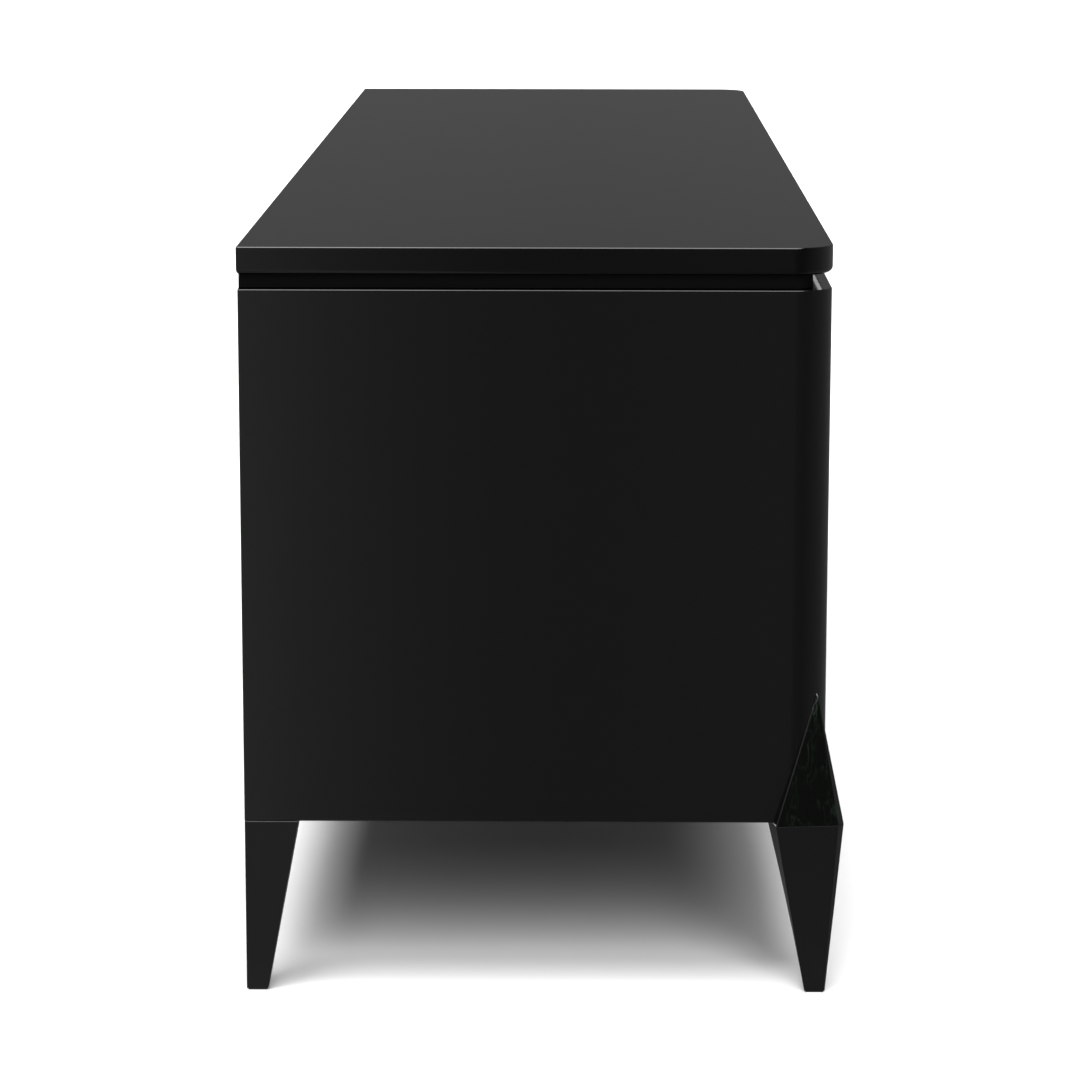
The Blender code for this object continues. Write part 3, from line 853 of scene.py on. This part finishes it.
for node in ("deck_panel", "base_panel"):
    piece = eased_copy(f"lacquered_{node}", node, LACQUER_EASE)
    finish_piece(piece, gloss_black, "gloss_black_lacquer", "case", node)
for column in COLUMNS:
    piece = eased_copy(f"satin_rail_{column}", f"rail_{column}", LACQUER_EASE)
    finish_piece(piece, satin_black_long, "satin_black_lacquer", "case", f"rail_{column}")
    for hand in ("left", "right"):
        node = f"runner_{column}_{hand}"
        piece = eased_copy(f"walnut_{node}", node, TIMBER_EASE)
        finish_piece(piece, walnut_deep, "oiled_walnut", "case", node)
for node in ("divider_left", "divider_right"):
    piece = eased_copy(f"walnut_{node}", node, TIMBER_EASE)
    finish_piece(piece, walnut_deep, "oiled_walnut", "case", node)
piece = eased_copy("satin_back_panel", "back_panel", LACQUER_EASE)
finish_piece(piece, satin_black_long, "satin_black_lacquer", "case", "back_panel")
print("back panel, the last of the fixed boards:", len(piece.data.polygons), "faces")

# %% [markdown]
# ## Drawer fronts
#
# There are no handles. Above each front is a gap for the fingers, and the back of the front's
# upper edge is cut away at a slant, which leaves a thin lip to pull. The front is a block: its
# upper back edge is bevelled in one flat step for the slant, and the other edges are then eased.
# One front is modelled and copied to the other five places.

# %% Drawer fronts
FRONT_THICK = 0.020
FRONT_LIP = 0.007
ROWS = ("lower", "upper")

low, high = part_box("drawer_lower_left_front")
front = start_block("lacquered_front_lower_left", low, high)
pick(front, "edges", lambda e: all_at(e, 1, high.y) and all_at(e, 2, high.z))
round_edges(FRONT_THICK - FRONT_LIP, 1)
bpy.ops.object.mode_set(mode="OBJECT")
ease_all(front, LACQUER_EASE, 3)
for row in ROWS:
    for column in COLUMNS:
        if (row, column) == ("lower", "left"):
            continue
        node = f"drawer_{row}_{column}_front"
        copy = duplicate(front, f"lacquered_front_{row}_{column}")
        copy.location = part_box(node)[0] - low
        settle(copy)
        finish_piece(copy, gloss_black, "gloss_black_lacquer", f"drawer_{row}_{column}", node)
finish_piece(front, gloss_black, "gloss_black_lacquer", "drawer_lower_left",
             "drawer_lower_left_front")
print("six fronts of", len(front.data.polygons), "faces")

# %% [markdown]
# ## Drawer boxes
#
# Behind each front is a plain box: two sides and a back of walnut, and a bottom of veneered
# plywood that sits in grooves. The grain of a side runs from front to back and that of a back
# from side to side, because a board is always cut with its grain along its length. Each piece is
# an eased copy of the working model's board and rides on its own drawer.

# %% Drawer boxes
for row in ROWS:
    for column in COLUMNS:
        drawer = f"drawer_{row}_{column}"
        for part, wood, slot in (("side_left", walnut_deep, "oiled_walnut"),
                                 ("side_right", walnut_deep, "oiled_walnut"),
                                 ("back", walnut_wide, "oiled_walnut"),
                                 ("bottom", veneer, "veneered_plywood")):
            node = f"{drawer}_{part}"
            piece = eased_copy(f"walnut_{node}", node, TIMBER_EASE)
            finish_piece(piece, wood, slot, drawer, node)
print("drawer boxes:", len(ROWS) * len(COLUMNS), "of four pieces each")

# %% [markdown]
# ## Front legs
#
# A front leg is a square stake that tapers to a small foot. Its head is turned a few degrees, so
# that its outer face isn't parallel to the case, and the turn dies away towards the foot. Its
# outer corner is cut off by a narrow flat. It is drawn from its head down. The plan of the head
# is a plane with one corner cut. With no window open, Blender's rotate operator turns the other
# way, so the helper that turns the plan changes the sign.

# %% Plan of a front leg's head
STAKE_HEAD = 0.0595
STAKE_FOOT = 0.0176
STAKE_TURN = 6.5
STAKE_PROUD = (0.0073, 0.0158)
FOOT_PROUD = (0.0005, 0.0012)
STAKE_CHAMFER = 0.0055

case_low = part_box("end_panel_left")[0]
leg_low, leg_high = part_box("front_leg_left")
head_corner = Vector((case_low.x - STAKE_PROUD[0], case_low.y - STAKE_PROUD[1], leg_high.z))
foot_corner = Vector((case_low.x - FOOT_PROUD[0], case_low.y - FOOT_PROUD[1], leg_low.z))


def turn_plan(degrees, centre):
    """Turn what is selected round an upright axis through one point."""
    bpy.ops.transform.rotate(value=math.radians(-degrees), orient_axis="Z",
                             center_override=centre)


def start_stake(name):
    """The plan of a front leg's head as a flat face, in edit mode."""
    middle = head_corner + Vector((STAKE_HEAD / 2, STAKE_HEAD / 2, 0))
    bpy.ops.object.select_all(action="DESELECT")
    bpy.ops.mesh.primitive_plane_add(size=STAKE_HEAD, location=middle)
    piece = bpy.context.object
    piece.name = name
    settle(piece)
    bpy.ops.object.mode_set(mode="EDIT")
    pick(piece, "verts", lambda v: (v.co - head_corner).length < SAME)
    round_edges(STAKE_CHAMFER, 1, affect="VERTICES")
    bpy.ops.mesh.select_all(action="SELECT")
    turn_plan(STAKE_TURN, head_corner)
    return piece


leg_left = start_stake("satin_front_leg_left")
cut = [tuple(round(1000 * c, 2) for c in vert.co.xy)
       for vert in bmesh.from_edit_mesh(leg_left.data).verts]
print("plan of the head, mm:", cut)

# %% [markdown]
# The plan is then extruded down in steps. After each step it shrinks towards the outer corner and
# turns back a little round it. A single long extrusion would twist the four sides into two large
# triangles each, and the steps share out that twist. The edges are eased by a hair, except the
# two of the head that the case covers, where a round would open a gap.

# %% Front legs
STAKE_STEPS = 16
STAKE_EASE = 0.0003
SHARP = 0.5

pick(leg_left, "faces", lambda f: True)
step = (foot_corner - head_corner) / STAKE_STEPS
width = STAKE_HEAD
for i in range(STAKE_STEPS):
    corner = head_corner + step * (i + 1)
    smaller = STAKE_HEAD + (STAKE_FOOT - STAKE_HEAD) * (i + 1) / STAKE_STEPS
    bpy.ops.mesh.extrude_region_move(TRANSFORM_OT_translate={"value": step})
    bpy.ops.transform.resize(value=(smaller / width, smaller / width, 1.0),
                             center_override=corner)
    turn_plan(-STAKE_TURN / STAKE_STEPS, corner)
    width = smaller
pick(leg_left, "edges", lambda e: all_at(e, 2, head_corner.z))
bpy.ops.mesh.edge_face_add()
bpy.ops.mesh.select_all(action="SELECT")
bpy.ops.mesh.normals_make_consistent(inside=False)


def open_edge(edge):
    """A sharp edge of the leg, apart from the two of its head that the case covers."""
    middle = (edge.verts[0].co + edge.verts[1].co) / 2
    outside = middle.x < case_low.x or middle.y < case_low.y
    return edge.calc_face_angle(0.0) > SHARP and (outside or not all_at(edge, 2, head_corner.z))


print("edges to ease:", pick(leg_left, "edges", open_edge))
round_edges(STAKE_EASE, 2)
bpy.ops.object.mode_set(mode="OBJECT")
leg_right = mirrored(leg_left, "satin_front_leg_right")
finish_piece(leg_left, satin_black, "satin_black_lacquer", "case", "front_leg_left")
finish_piece(leg_right, satin_black, "satin_black_lacquer", "case", "front_leg_right")
leg_size = [round(1000 * length, 1) for length in leg_left.dimensions]
model_size = [round(1000 * length, 1) for length in leg_high - leg_low]
print("front leg, mm:", leg_size, "in the model:", model_size)

# %% [markdown]
# ## Rear legs and foot pads
#
# A rear leg is a plain square stake. Its two outer faces stay flush with the case, and only its
# inner faces slope. So it is a block whose lower face is shrunk towards its outer back corner.
# The four nylon pads are thin plates, and they are eased copies of the model's.

# %% Rear legs and foot pads
REAR_FOOT = 0.0186
REAR_EASE = 0.0007
PAD_EASE = 0.0003

low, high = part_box("rear_leg_left")
rear_left = start_block("satin_rear_leg_left", low, high)
pick(rear_left, "faces", lambda f: all_at(f, 2, low.z))
taper = REAR_FOOT / (high.x - low.x)
bpy.ops.transform.resize(value=(taper, taper, 1.0), center_override=(low.x, high.y, low.z))
bpy.ops.object.mode_set(mode="OBJECT")
ease_all(rear_left, REAR_EASE)
rear_right = mirrored(rear_left, "satin_rear_leg_right")
finish_piece(rear_left, satin_black, "satin_black_lacquer", "case", "rear_leg_left")
finish_piece(rear_right, satin_black, "satin_black_lacquer", "case", "rear_leg_right")
for place_name in ("front_left", "front_right", "rear_left", "rear_right"):
    pad = eased_copy(f"nylon_pad_{place_name}", f"glide_{place_name}", PAD_EASE)
    finish_piece(pad, nylon, "black_nylon", "case", f"glide_{place_name}")
print("a rear leg's foot is", round(1000 * REAR_FOOT, 1), "mm square; its faces:",
      len(rear_left.data.polygons))

# %% [markdown]
# ## Glass caps
#
# Each cap is a tall pointed pyramid of glass that stands on the front leg's head, in line with
# its faces, and wraps the round corner of the case. Its back is ground hollow to fit the corner,
# and all its edges are polished to a narrow round that catches a thin line of light. The ridge
# that climbs from the outermost corner of its foot has a wider round than the others. The working
# model has the exact shape, so a clean copy of that is rounded. The ridge is found by its lean,
# because it is made of several short edges in line. The other cap is the mirror image.

# %% Glass caps
RIDGE_ROUND = 0.0010
GLASS_EASE = 0.00025
LEVEL = 0.001
SAME_LEAN = 0.003


def lean(edge):
    """How far an edge moves in x and y for each unit of height, or None for a level edge."""
    foot, head = sorted((vert.co for vert in edge.verts), key=lambda point: point.z)
    rise = head.z - foot.z
    return (head - foot).xy / rise if rise > LEVEL else None


def in_line(edge, direction):
    """Whether an edge leans the same way as a direction."""
    return lean(edge) is not None and (lean(edge) - direction).length < SAME_LEAN


cap_left = clean_copy("glass_cap_left", "corner_cap_left")
bpy.ops.object.mode_set(mode="EDIT")
cage = bmesh.from_edit_mesh(cap_left.data)
outermost = min(cage.verts, key=lambda vert: vert.co.x)
climbing = [lean(edge) for edge in outermost.link_edges if lean(edge) is not None]
ridge_lean = min(climbing, key=lambda direction: direction.length)
print("ridge edges:", pick(cap_left, "edges", lambda e: in_line(e, ridge_lean)))
round_edges(RIDGE_ROUND, 4)
bpy.ops.object.mode_set(mode="OBJECT")
ease_all(cap_left, GLASS_EASE, 3)
cap_right = mirrored(cap_left, "glass_cap_right")
finish_piece(cap_left, green_glass, "dark_green_glass", "case", "corner_cap_left")
finish_piece(cap_right, green_glass, "dark_green_glass", "case", "corner_cap_right")
print(cap_left.name, len(cap_left.data.polygons), "faces")
